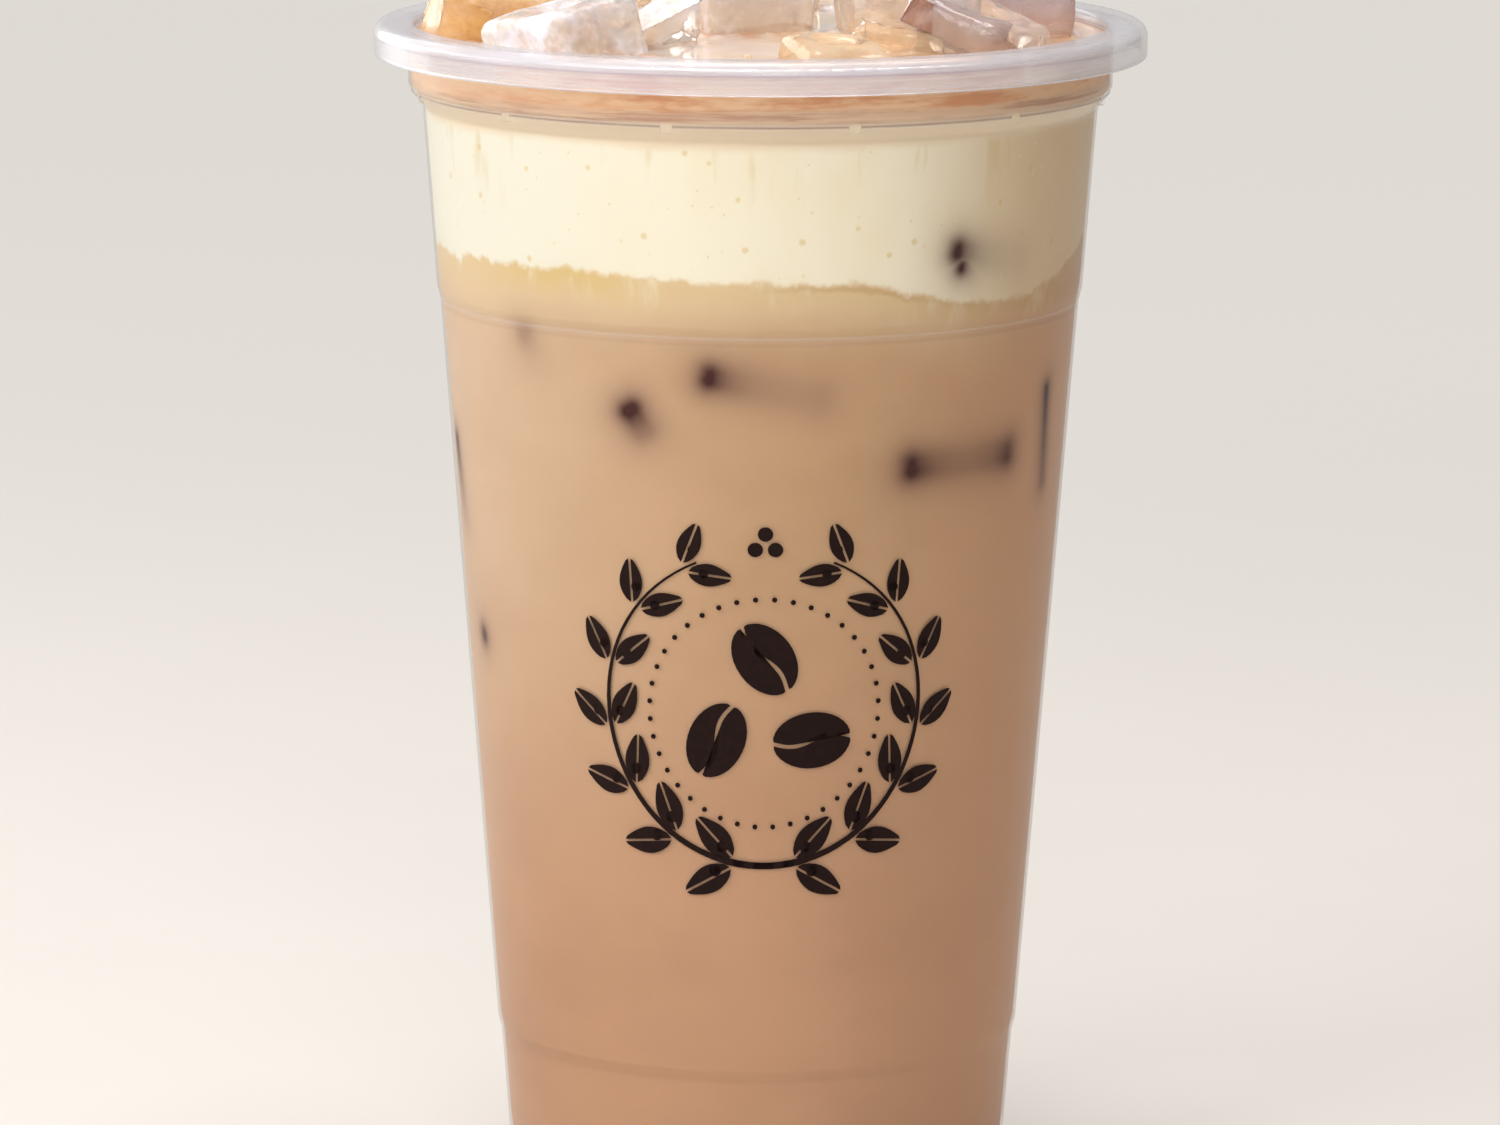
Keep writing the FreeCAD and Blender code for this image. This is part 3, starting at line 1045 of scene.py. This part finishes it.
@dataclass
class Layer:
    """One layer of the drink: a drum from one boundary up to another, out to the wall.

    It has so many rings on its ends, courses up its side and steps round it, and it laps into
    the wall. Its top climbs the ice and the wall it wets, by so many mm.
    """

    node: str
    finish: DrinkFinish
    bottom: Callable[[float, float], float]
    top: Callable[[float, float], float]
    rings: int = 12
    courses: int = 24
    steps: int = 192
    overlap: float = WALL_OVERLAP
    ice_climb: float = 0.45
    wall_climb: float = 0.4
    climb_reach: float = 0.5
    stain_reach: float = 1.6

    def build(self, cup: CupSurface, ice: BVHTree | None = None) -> bpy.types.Object:
        """Spins a drum and fits it between its boundaries and the wall.

        Args:
            cup: The cup it fills.
            ice: The ice that stands in its top, if any.

        Returns:
            The layer.
        """
        bm = bmesh.new()
        profile = [(i / self.rings, 0.0) for i in range(self.rings + 1)]
        profile += [(1.0, i / self.courses) for i in range(1, self.courses + 1)]
        profile += [(i / self.rings, 1.0) for i in range(self.rings - 1, -1, -1)]
        verts = [bm.verts.new((out, 0.0, up)) for out, up in profile]
        edges = [bm.edges.new(pair) for pair in zip(verts, verts[1:])]
        bmesh.ops.spin(bm, geom=verts + edges, axis=(0, 0, 1), cent=(0, 0, 0),
                       angle=2 * math.pi, steps=self.steps, use_merge=True)
        bmesh.ops.remove_doubles(bm, verts=bm.verts, dist=1e-5)
        near_ice = bm.verts.layers.float.new("near_ice")
        for vert in bm.verts:
            place = self.fitted(vert.co, cup)
            if ice and vert.co.z > 0.999:
                place.z, vert[near_ice] = self.wetted(place, math.hypot(*vert.co.xy), ice)
            vert.co = place * MM
        item = mesh_object(f"{self.node}_layer", bm, self.finish.build())
        enlist(item, [self.node])
        return item

    def fitted(self, unit: Vector, cup: CupSurface) -> Vector:
        """Moves a point of the unit drum to its place.

        Args:
            unit: The point, 0 to 1 out and up.
            cup: The cup it fills.

        Returns:
            Its place in mm.
        """
        out = math.hypot(unit.x, unit.y)
        way = Vector((unit.x / out, unit.y / out)) if out > 1e-6 else Vector((0.0, 0.0))
        guess = way * out * BODY_RADIUS
        low, high = self.bottom(guess.x, guess.y), self.top(guess.x, guess.y)
        z = low + (high - low) * unit.z
        radius = out * (cup.inner(min(z, CUP_HEIGHT - 0.9)) + self.overlap)
        return Vector((way.x * radius, way.y * radius, z))

    def wetted(self, place: Vector, share: float, ice: BVHTree) -> tuple[float, float]:
        """Lets a point of the top climb the ice and the wall.

        Args:
            place: The point, in mm.
            share: How far out it is, 0 to 1.
            ice: The ice.

        Returns:
            Its new height in mm, and its nearness to ice, 0 to 1.
        """
        away = ice.find_nearest(place * MM)[3] / MM
        wall = (1.0 - share) * BODY_RADIUS
        at_ice = self.ice_climb * math.exp(-away / self.climb_reach)
        at_wall = self.wall_climb * math.exp(-wall / self.climb_reach)
        swell = 0.08 * noise.noise(place * 0.12)
        return place.z + (at_ice + at_wall) + swell, math.exp(-away / self.stain_reach)


@dataclass(frozen=True)
class Bubble:
    """A bubble on the coffee: where it floats and its radius, in mm."""

    x: float
    y: float
    radius: float


BUBBLES = (
    Bubble(15.6, -17.2, 1.2),
    Bubble(13.9, -15.4, 0.6),
    Bubble(16.6, -19.4, 0.4),
    Bubble(-9.0, -30.0, 0.7),
    Bubble(-10.4, -31.2, 0.4),
    Bubble(-1.5, -24.0, 0.5),
)


class Drink:
    """The three layers of the drink, the jelly sunk in them and the bubbles on top."""

    jelly_depth: float = 0.43

    def __init__(self, cup: CupSurface, ice: BVHTree) -> None:
        """Keeps the cup that the drink fills and the ice that stands in it."""
        self.cup = cup
        self.ice = ice

    def build(self) -> None:
        """Builds the layers from the floor up."""
        strips = tuple(strip.matrix(self.cup.inner(strip.height) + self.jelly_depth) for strip in JELLY)
        Layer("mocha", DrinkFinish("milky_mocha", Slot.MOCHA, strips),
              lambda x, y: FLOOR_Z + 0.02, CREAM_EDGE.height, courses=60).build(self.cup)
        Layer("cream", DrinkFinish("cream", Slot.CREAM, strips),
              CREAM_EDGE.height, COFFEE_EDGE.height, courses=40).build(self.cup)
        Layer("coffee", DrinkFinish("coffee_top", Slot.COFFEE),
              COFFEE_EDGE.height, lambda x, y: FILL_Z, rings=100, steps=256).build(self.cup, self.ice)
        self.jelly(strips)
        self.bubbles()

    def jelly(self, places: Sequence[Matrix]) -> None:
        """Builds the strips of jelly as one piece.

        Args:
            places: The strips' places and turns, in mm.
        """
        bm = bmesh.new()
        for strip, place in zip(JELLY, places):
            made = bmesh.ops.create_cube(bm, size=1.0)["verts"]
            bmesh.ops.scale(bm, vec=(strip.length, strip.width, strip.width), verts=made)
            edges = list({edge for vert in made for edge in vert.link_edges})
            worn = bmesh.ops.bevel(bm, geom=edges, offset=strip.rounding(), segments=5,
                                   affect="EDGES", profile=0.5, material=-1)
            verts = {vert for face in worn["faces"] for vert in face.verts}
            verts |= {vert for vert in made if vert.is_valid}
            bmesh.ops.transform(bm, matrix=place, verts=list(verts))
        bmesh.ops.scale(bm, vec=(MM, MM, MM), verts=bm.verts)
        enlist(mesh_object("jelly_strips", bm, JellyFinish().build()))

    def bubbles(self) -> None:
        """Builds the bubbles as one piece of domes that stand in the surface."""
        bm = bmesh.new()
        for bubble in BUBBLES:
            made = bmesh.ops.create_icosphere(bm, subdivisions=4, radius=bubble.radius)["verts"]
            bmesh.ops.scale(bm, vec=(1.0, 1.0, 0.75), verts=made)
            bmesh.ops.translate(bm, vec=(bubble.x, bubble.y, FILL_Z + 0.1), verts=made)
        bmesh.ops.scale(bm, vec=(MM, MM, MM), verts=bm.verts)
        enlist(mesh_object("surface_bubbles", bm, BubbleFinish().build()))


def melted(name: str, bm: bmesh.types.BMesh, finish: IceFinish) -> bpy.types.Object:
    """Remeshes a block of ice finely and wears it in, by broad hollows and fine ripples.

    Args:
        name: The object's name.
        bm: The block, freed here.
        finish: Its finish, whose seed also sets the hollows.

    Returns:
        The melted block.
    """
    item = mesh_object(name, bm, finish.build())
    remesh = item.modifiers.new("even", "REMESH")
    remesh.mode = "VOXEL"
    remesh.voxel_size = VOXEL
    depsgraph = bpy.context.evaluated_depsgraph_get()
    worn = bpy.data.meshes.new_from_object(item.evaluated_get(depsgraph))
    item.modifiers.clear()
    item.data = worn
    offset = Vector((3.1, 1.7, 2.3)) * finish.seed
    normals = [vert.normal.copy() for vert in worn.vertices]
    for vert, normal in zip(worn.vertices, normals):
        place = vert.co / MM
        broad = noise.noise(place * HOLLOW_SCALE + offset)
        fine = noise.noise(place * RIPPLE_SCALE + offset)
        vert.co -= normal * (WORN_DEPTH + HOLLOW_DEPTH * (broad + 1) * 0.5 + RIPPLE_DEPTH * fine) * MM
    worn.polygons.foreach_set("use_smooth", [True] * len(worn.polygons))
    return item


@dataclass(frozen=True)
class IceBlock:
    """A melted block of ice on its CAD block."""

    node: str
    finish: IceFinish

    def build(self) -> bpy.types.Object:
        """Melts the CAD block.

        Returns:
            The melted block.
        """
        bm = bmesh.new()
        bm.from_mesh(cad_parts[self.node].data)
        bmesh.ops.remove_doubles(bm, verts=bm.verts, dist=WELD)
        item = melted(f"{self.node}_melted", bm, self.finish)
        enlist(item, [self.node])
        return item


@dataclass(frozen=True)
class IceChip:
    """A small chip of ice between the blocks: its middle and size in mm, its turns in degrees."""

    name: str
    middle: tuple[float, float, float]
    size: tuple[float, float, float]
    turns: tuple[float, float, float]
    finish: IceFinish
    crooked: float = 0.3

    def knock(self, corner: Vector) -> Vector:
        """How far a corner of the unit block is out of true, the same at every run.

        Args:
            corner: The corner.

        Returns:
            Its shift on each axis, -1 to 1.
        """
        place = corner * 3.0 + Vector((self.finish.seed, 0.0, 0.0))
        return Vector([noise.noise(place + Vector((0.0, shift, 0.0))) for shift in (0.0, 7.3, 15.1)])

    def build(self) -> bpy.types.Object:
        """Breaks a block out of true and melts it.

        Returns:
            The chip.
        """
        bm = bmesh.new()
        bmesh.ops.create_cube(bm, size=1.0)
        for vert in bm.verts:
            vert.co += self.knock(vert.co) * self.crooked
        bmesh.ops.scale(bm, vec=self.size, verts=bm.verts)
        bmesh.ops.triangulate(bm, faces=bm.faces)
        turn = Euler([math.radians(angle) for angle in self.turns]).to_matrix().to_4x4()
        place = Matrix.Scale(MM, 4) @ Matrix.Translation(self.middle) @ turn
        bmesh.ops.transform(bm, matrix=place, verts=bm.verts)
        item = melted(self.name, bm, self.finish)
        enlist(item)
        return item


ICE = (
    IceBlock("ice_left",
             IceFinish("golden_ice", (238, 188, 116), (246, 214, 164), 0.8, 0.2, 0.9, 1.0)),
    IceBlock("ice_front_left",
             IceFinish("snowy_ice", (244, 232, 218), (236, 230, 232), 0.6, 1.0, 0.15, 2.0)),
    IceBlock("ice_front",
             IceFinish("creamy_ice", (240, 212, 166), (238, 224, 204), 0.35, 0.1, 0.15, 3.0)),
    IceBlock("ice_front_right",
             IceFinish("clear_ice", (226, 208, 190), (208, 196, 202), 0.45, 0.15, 0.1, 4.0)),
    IceBlock("ice_right",
             IceFinish("grey_ice", (196, 166, 158), (182, 168, 184), 0.75, 0.15, 0.1, 5.0)),
    IceBlock("ice_back_right",
             IceFinish("dull_ice", (214, 192, 176), (202, 192, 204), 0.55, 0.2, 0.1, 6.0)),
    IceBlock("ice_back",
             IceFinish("pale_ice", (232, 216, 196), (226, 222, 232), 0.5, 0.3, 0.15, 7.0)),
    IceBlock("ice_back_left",
             IceFinish("soaked_ice", (240, 214, 174), (238, 228, 216), 0.5, 0.3, 0.35, 8.0)),
    IceBlock("ice_middle",
             IceFinish("cloudy_ice", (232, 212, 188), (214, 208, 226), 0.7, 0.6, 0.15, 9.0)),
    IceBlock("ice_middle_right",
             IceFinish("thin_ice", (228, 208, 180), (218, 206, 204), 0.4, 0.1, 0.1, 10.0)),
)

CHIPS = (
    IceChip("left_chip", (-35.4, -4.5, FILL_Z + 1.4), (6.5, 12.0, 8.5), (0.0, 12.0, 8.0),
            IceFinish("golden_chip", (240, 188, 114), (246, 212, 160), 0.8, 0.15, 0.8, 11.0)),
    IceChip("middle_chip", (-13.0, -12.5, FILL_Z + 0.9), (13.0, 4.5, 8.0), (28.0, -24.0, 34.0),
            IceFinish("white_chip", (246, 238, 230), (238, 234, 242), 0.55, 0.6, 0.0, 12.0)),
    IceChip("front_chip", (15.0, -22.5, FILL_Z + 0.6), (11.0, 4.5, 7.0), (-30.0, 14.0, 12.0),
            IceFinish("creamy_chip", (240, 208, 164), (238, 220, 196), 0.4, 0.1, 0.2, 13.0)),
    # Painted shade: a chip of ice coloured dark brown, standing in the shaded gap between blocks at the
    # front right
    IceChip("right_chip", (22.5, -20.0, FILL_Z + 2.6), (16.0, 4.0, 4.6), (-14.0, 27.0, 4.0),
            IceFinish("gap_shade_chip", (170, 116, 94), (178, 132, 116), 0.8, 0.0, 0.1, 14.0)),
)


def tree_of(items: Iterable[bpy.types.Object]) -> BVHTree:
    """Makes one search tree over several meshes.

    Args:
        items: The objects.

    Returns:
        Their tree, in metres.
    """
    bm = bmesh.new()
    for item in items:
        bm.from_mesh(item.data)
    tree = BVHTree.FromBMesh(bm)
    bm.free()
    return tree


# A closed line of the print, to the right and up in mm
Outline = list[tuple[float, float]]


@dataclass
class Emblem:
    """A wreath of coffee branches round three beans, printed on the front of the wall.

    It is drawn flat in mm, to the right and up from its middle, and wrapped on the wall. The
    branches start and end at bearings in degrees from the right. The beans and the ring of
    beads share a middle that hangs a little lower.
    """

    around: float = 1.2
    height: float = 62.0
    stem_radius: float = 18.6
    stem_start: float = -104.0
    stem_end: float = 66.0
    stem_half: float = 0.42
    stem_taper: float = 0.3
    stem_pieces: int = 40
    leaves: int = 7
    leaf_length: float = 7.0
    leaf_bulge: float = 1.55
    leaf_splay: float = 38.0
    berry: float = 0.72
    berry_reach: float = 1.5
    berry_turn: float = 7.5
    bean_ring: float = 6.4
    bean_length: float = 4.6
    bean_width: float = 3.3
    bean_tilt: float = 35.0
    beads: int = 40
    bead: float = 0.3
    bead_ring: float = 13.4
    hang: float = 0.6
    slices: int = 43
    slice_width: float = 1.2
    thickness: float = 0.03
    lift: float = 0.015

    def build(self, cup: CupSurface) -> bpy.types.Object:
        """Draws the outlines, gives the ink its thickness and wraps it on the wall.

        Args:
            cup: The cup it is printed on.

        Returns:
            The print.
        """
        bm = bmesh.new()
        for outline in self.outlines():
            bm.faces.new([bm.verts.new((x, y, 0.0)) for x, y in outline])
        bmesh.ops.triangulate(bm, faces=bm.faces[:], ngon_method="EAR_CLIP")
        for i in range(self.slices):
            cut = (i - self.slices // 2) * self.slice_width
            bmesh.ops.bisect_plane(bm, geom=bm.verts[:] + bm.edges[:] + bm.faces[:],
                                   plane_co=(cut, 0.0, 0.0), plane_no=(1.0, 0.0, 0.0))
        raised = bmesh.ops.extrude_face_region(bm, geom=bm.faces[:])["geom"]
        tops = [part for part in raised if isinstance(part, bmesh.types.BMVert)]
        bmesh.ops.translate(bm, vec=(0.0, 0.0, self.thickness), verts=tops)
        middle = cup.outer(math.radians(self.around), self.height)
        for vert in bm.verts:
            angle = math.radians(self.around) + vert.co.x / middle
            z = self.height + vert.co.y
            radius = cup.outer(angle, z) + self.lift + vert.co.z
            vert.co = Vector((radius * math.sin(angle), -radius * math.cos(angle), z)) * MM
        item = mesh_object("wreath_print", bm, InkFinish().build(), smooth=False)
        enlist(item)
        return item

    def outlines(self) -> list[Outline]:
        """Draws every shape of the print.

        Returns:
            The outlines.
        """
        right = self.branch()
        shapes = right + [[(-x, y) for x, y in outline] for outline in right]
        for i in range(3):
            turn = math.radians(90 + 120 * i)
            tilt = turn + math.radians(self.bean_tilt)
            spot = self.hung(self.bean_ring, turn)
            halves = self.bean(self.bean_length, self.bean_width)
            shapes += [self.moved(half, spot, tilt) for half in halves]
        for x, y in ((-1.1, 0.0), (1.1, 0.0), (0.0, 1.8)):
            shapes.append(self.moved(self.disc(0.85), (x, self.stem_radius + y), 0.0))
        for i in range(self.beads):
            spot = self.hung(self.bead_ring, 2 * math.pi * (i + 0.5) / self.beads)
            shapes.append(self.moved(self.disc(self.bead), spot, 0.0))
        return shapes

    def hung(self, reach: float, turn: float) -> tuple[float, float]:
        """A point about the lower middle of the beans and beads."""
        return reach * math.cos(turn), reach * math.sin(turn) - self.hang

    def branch(self) -> list[Outline]:
        """Draws the right-hand branch: a stem on an arc, with leaves and berries along it.

        Returns:
            The outlines.
        """
        first, last = math.radians(self.stem_start), math.radians(self.stem_end)
        shapes = self.stem(first, last)
        for i in range(self.leaves):
            share = (i + 1.0) / (self.leaves + 0.3)
            angle = first + (last - first) * share
            spot = self.polar(self.stem_radius, angle)
            size = 1.0 - 0.25 * share
            halves = self.leaf(self.leaf_length * size, self.leaf_bulge * size)
            for side in (-1, 1):
                turn = angle + math.radians(90 - side * self.leaf_splay)
                shapes += [self.moved(half, spot, turn) for half in halves]
            berry = angle + math.radians(self.berry_turn)
            for side in (-1, 1):
                place = self.polar(self.stem_radius + side * self.berry_reach, berry)
                shapes.append(self.moved(self.disc(self.berry * size), place, 0.0))
        return shapes

    def stem(self, first: float, last: float) -> list[Outline]:
        """Draws a tapering band along the arc, as short pieces end to end.

        Args:
            first: The bearing of its thick end, in radians.
            last: The bearing of its thin end.

        Returns:
            The pieces.
        """
        pieces = self.stem_pieces
        turns = [first + (last - first) * i / pieces for i in range(pieces + 1)]
        halves = [self.stem_half - self.stem_taper * i / pieces for i in range(pieces + 1)]
        outer = [self.polar(self.stem_radius + half, turn) for half, turn in zip(halves, turns)]
        inner = [self.polar(self.stem_radius - half, turn) for half, turn in zip(halves, turns)]
        return [[outer[i], outer[i + 1], inner[i + 1], inner[i]] for i in range(pieces)]

    def polar(self, reach: float, turn: float) -> tuple[float, float]:
        """A point at a distance and an angle from the middle."""
        return reach * math.cos(turn), reach * math.sin(turn)

    def leaf(self, length: float, bulge: float) -> list[Outline]:
        """Draws a leaf in two halves with a gap for its midrib, along +X from its stalk.

        Args:
            length: Its length.
            bulge: How far each half swells.

        Returns:
            The two halves.
        """
        gap, points, stalk = 0.14, 10, 0.9
        halves = []
        for side in (-1, 1):
            edge = []
            for i in range(1, points):
                swell = bulge * math.sin(math.pi * (i / points) ** 0.85)
                edge.append((stalk + length * i / points, side * (gap + swell)))
            rib = [(stalk + length * 0.94, side * gap), (stalk + length * 0.03, side * gap)]
            halves.append(edge + rib)
        return halves

    def bean(self, length: float, width: float) -> list[Outline]:
        """Draws a bean in two halves, parted by a curved crease along X.

        Args:
            length: Half its length.
            width: Half its width.

        Returns:
            The two halves.
        """
        gap, points = 0.24, 16
        halves = []
        for side in (-1, 1):
            crease = []
            for i in range(points + 1):
                share = 2 * i / points - 1
                bend = 0.16 * width * math.sin(math.pi * share)
                crease.append((length * 0.97 * share, bend + side * gap))
            turns = [math.pi * i / points for i in range(1, points)]
            arc = [(length * math.cos(turn), side * width * math.sin(turn)) for turn in turns]
            halves.append(crease + arc)
        return halves

    def disc(self, radius: float) -> Outline:
        """Draws a round dot."""
        points = 14
        return [self.polar(radius, 2 * math.pi * i / points) for i in range(points)]

    def moved(self, outline: Outline, spot: tuple[float, float], turn: float) -> Outline:
        """Turns an outline about the origin and moves it.

        Args:
            outline: The outline.
            spot: Where its origin goes.
            turn: Its turn in radians.

        Returns:
            The outline in its place.
        """
        cos, sin = math.cos(turn), math.sin(turn)
        return [(spot[0] + x * cos - y * sin, spot[1] + x * sin + y * cos) for x, y in outline]


@dataclass(frozen=True)
class Lamp:
    """A soft square lamp aimed at the cup.

    Its bearing from the front and its angle above level are in degrees, its distance and size
    in metres and its power in watts.
    """

    name: str
    around: float
    above: float
    distance: float
    size: float
    power: float
    colour: tuple[float, float, float] = (1.0, 1.0, 1.0)
    aim_height: float = 0.08

    def build(self) -> None:
        """Adds the lamp."""
        data = bpy.data.lights.new(self.name, "AREA")
        data.size = self.size
        data.energy = self.power
        data.color = self.colour
        lamp = bpy.data.objects.new(self.name, data)
        turn, lift = math.radians(self.around), math.radians(self.above)
        level = math.cos(lift)
        way = Vector((math.sin(turn) * level, -math.cos(turn) * level, math.sin(lift)))
        place = Vector((0.0, 0.0, self.aim_height)) + way * self.distance
        facing = way.to_track_quat("Z", "Y").to_matrix().to_4x4()
        lamp.matrix_world = Matrix.Translation(place) @ facing
        bpy.context.scene.collection.objects.link(lamp)


LAMPS = (
    Lamp("key", -50.0, 35.0, 0.9, 0.5, 4.9),
    Lamp("side", -95.0, 20.0, 0.7, 0.5, 1.5),
    Lamp("rim", -135.0, 18.0, 0.8, 0.6, 3.0),
    Lamp("front", 0.0, 28.0, 1.3, 0.8, 8.7),
    Lamp("top", 160.0, 80.0, 0.9, 0.5, 6.0),
    Lamp("fill", 75.0, 6.0, 1.0, 0.9, 1.1, (1.0, 0.84, 0.68)),
)


@dataclass
class Studio:
    """The camera, the lights and the pale floor.

    The camera's place and what it looks at are in mm, its roll in degrees. The sky has one
    strength as a light and another where it is seen.
    """

    lens: float = 193.5
    sensor: float = 36.0
    place: tuple[float, float, float] = (-1.0, -935.0, 237.4)
    target: tuple[float, float, float] = (-1.0, 0.0, 72.92)
    roll: float = 0.217
    floor_reach: float = 4.0
    sky_light: float = 0.12
    sky_seen: float = 0.5
    sky_colour: tuple[float, float, float, float] = (1.0, 0.96, 0.91, 1.0)

    def build(self) -> None:
        """Sets up the shot."""
        self.camera()
        self.floor()
        self.world()
        for lamp in LAMPS:
            lamp.build()

    def camera(self) -> None:
        """Sets a long lens at the front and above, tipped slightly."""
        data = bpy.data.cameras.new("camera")
        data.lens = self.lens
        data.sensor_width = self.sensor
        camera = bpy.data.objects.new("camera", data)
        place = Vector(self.place) * MM
        target = Vector(self.target) * MM
        look = (target - place).to_track_quat("-Z", "Y")
        turn = look @ Quaternion((0.0, 0.0, 1.0), math.radians(self.roll))
        camera.matrix_world = Matrix.Translation(place) @ turn.to_matrix().to_4x4()
        bpy.context.scene.collection.objects.link(camera)
        bpy.context.scene.camera = camera

    def floor(self) -> None:
        """Lays a wide level floor."""
        bm = bmesh.new()
        bmesh.ops.create_grid(bm, x_segments=8, y_segments=8, size=self.floor_reach)
        item = mesh_object("floor", bm, StageFinish().build())

    def world(self) -> None:
        """Makes a dim even sky, which gloss and clear ice see brighter."""
        world = bpy.data.worlds.new("sky")
        graph = Graph("sky", world)
        level = seen_rays(graph) * (self.sky_seen - self.sky_light) + self.sky_light
        sky = graph.node("ShaderNodeBackground", inputs={"Color": self.sky_colour, "Strength": level})
        output = graph.node("ShaderNodeOutputWorld")
        graph.tree.links.new(sky.outputs[0], output.inputs["Surface"])
        bpy.context.scene.world = world


def main() -> None:
    """Builds the whole scene."""
    logging.basicConfig(level=logging.INFO)
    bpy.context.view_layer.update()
    cup = CupSurface()
    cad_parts["cup"].data.materials.clear()
    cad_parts["cup"].data.materials.append(CupFinish().build())
    ice = [piece.build() for piece in ICE + CHIPS]
    Drink(cup, tree_of(ice)).build()
    Emblem().build(cup)
    Studio().build()
    scene = bpy.context.scene
    scene.view_settings.view_transform = "Standard"


if __name__ == "__main__":
    main()
